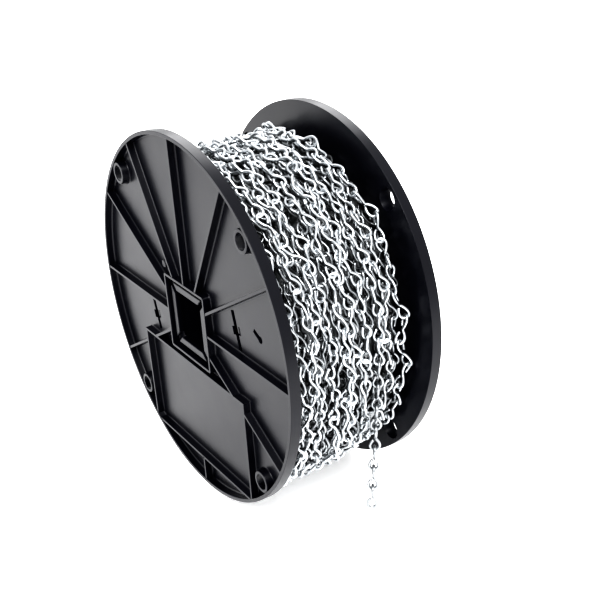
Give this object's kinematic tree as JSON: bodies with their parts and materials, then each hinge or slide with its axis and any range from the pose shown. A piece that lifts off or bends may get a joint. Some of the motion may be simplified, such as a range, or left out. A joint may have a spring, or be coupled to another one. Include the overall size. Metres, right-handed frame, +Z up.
{
  "type": "reel of jack chain",
  "caption": "Black plastic reel with two ribbed flanges and a square arbor hole, wound with zinc-plated single jack chain, its free end hanging down the front.",
  "frame": {"origin": "on the floor under the middle of the reel, which stands on its two rims", "axes": "+X along the reel's axis towards the right flange, -Y towards the hanging free end, +Z up"},
  "size_m": [0.084, 0.1898, 0.1899],
  "materials": {
    "black_plastic": "moulded black polypropylene with a semi-gloss face",
    "zinc_plated_steel": "bright zinc-plated steel wire"
  },
  "bodies": {
    "root": {"flange_left": "black_plastic", "flange_right": "black_plastic", "core_tube": "black_plastic", "wound_chain": "zinc_plated_steel", "hanging_link_1": "zinc_plated_steel", "hanging_link_2": "zinc_plated_steel", "hanging_link_3": "zinc_plated_steel", "hanging_link_4": "zinc_plated_steel", "hanging_link_5": "zinc_plated_steel", "hanging_link_6": "zinc_plated_steel", "hanging_link_7": "zinc_plated_steel"}
  },
  "joints": []
}
